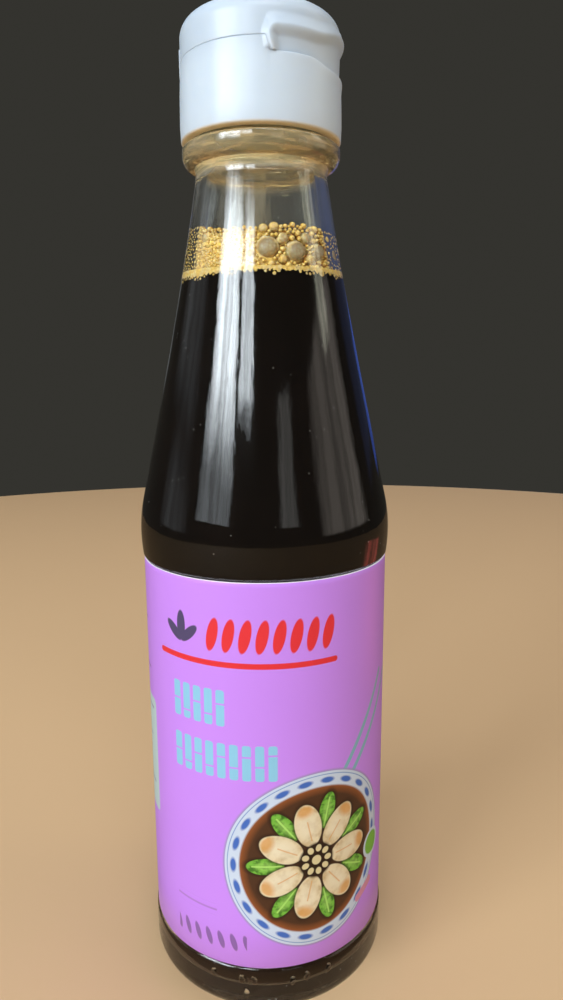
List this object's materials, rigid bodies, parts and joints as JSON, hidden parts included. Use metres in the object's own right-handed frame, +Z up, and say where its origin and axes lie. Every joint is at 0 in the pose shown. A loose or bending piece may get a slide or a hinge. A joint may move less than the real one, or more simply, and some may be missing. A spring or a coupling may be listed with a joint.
{
  "type": "sauce bottle",
  "caption": "Full clear glass bottle of dark soy sauce, tapering to a slim neck, with golden foam on the sauce, a lilac picture label and a shut white flip-top cap.",
  "frame": {"origin": "centre of the base, at the height that the bottle stands on", "axes": "+Z runs up the bottle's axis, -Y faces the front of the label, +X is to the right of the front"},
  "size_m": [0.051, 0.051, 0.1896],
  "materials": {
    "clear_glass": "clear, slightly green soda-lime glass",
    "dark_sauce": "nearly black brown liquid",
    "golden_foam": "golden foam bubbles",
    "label_paper": "coated paper, printed in colour",
    "white_plastic": "moulded white plastic"
  },
  "bodies": {
    "root": {"bottle": "clear_glass", "soy_sauce": "dark_sauce", "foam": "golden_foam", "label": "label_paper", "cap": "white_plastic", "cap_lid": "white_plastic"}
  },
  "joints": []
}
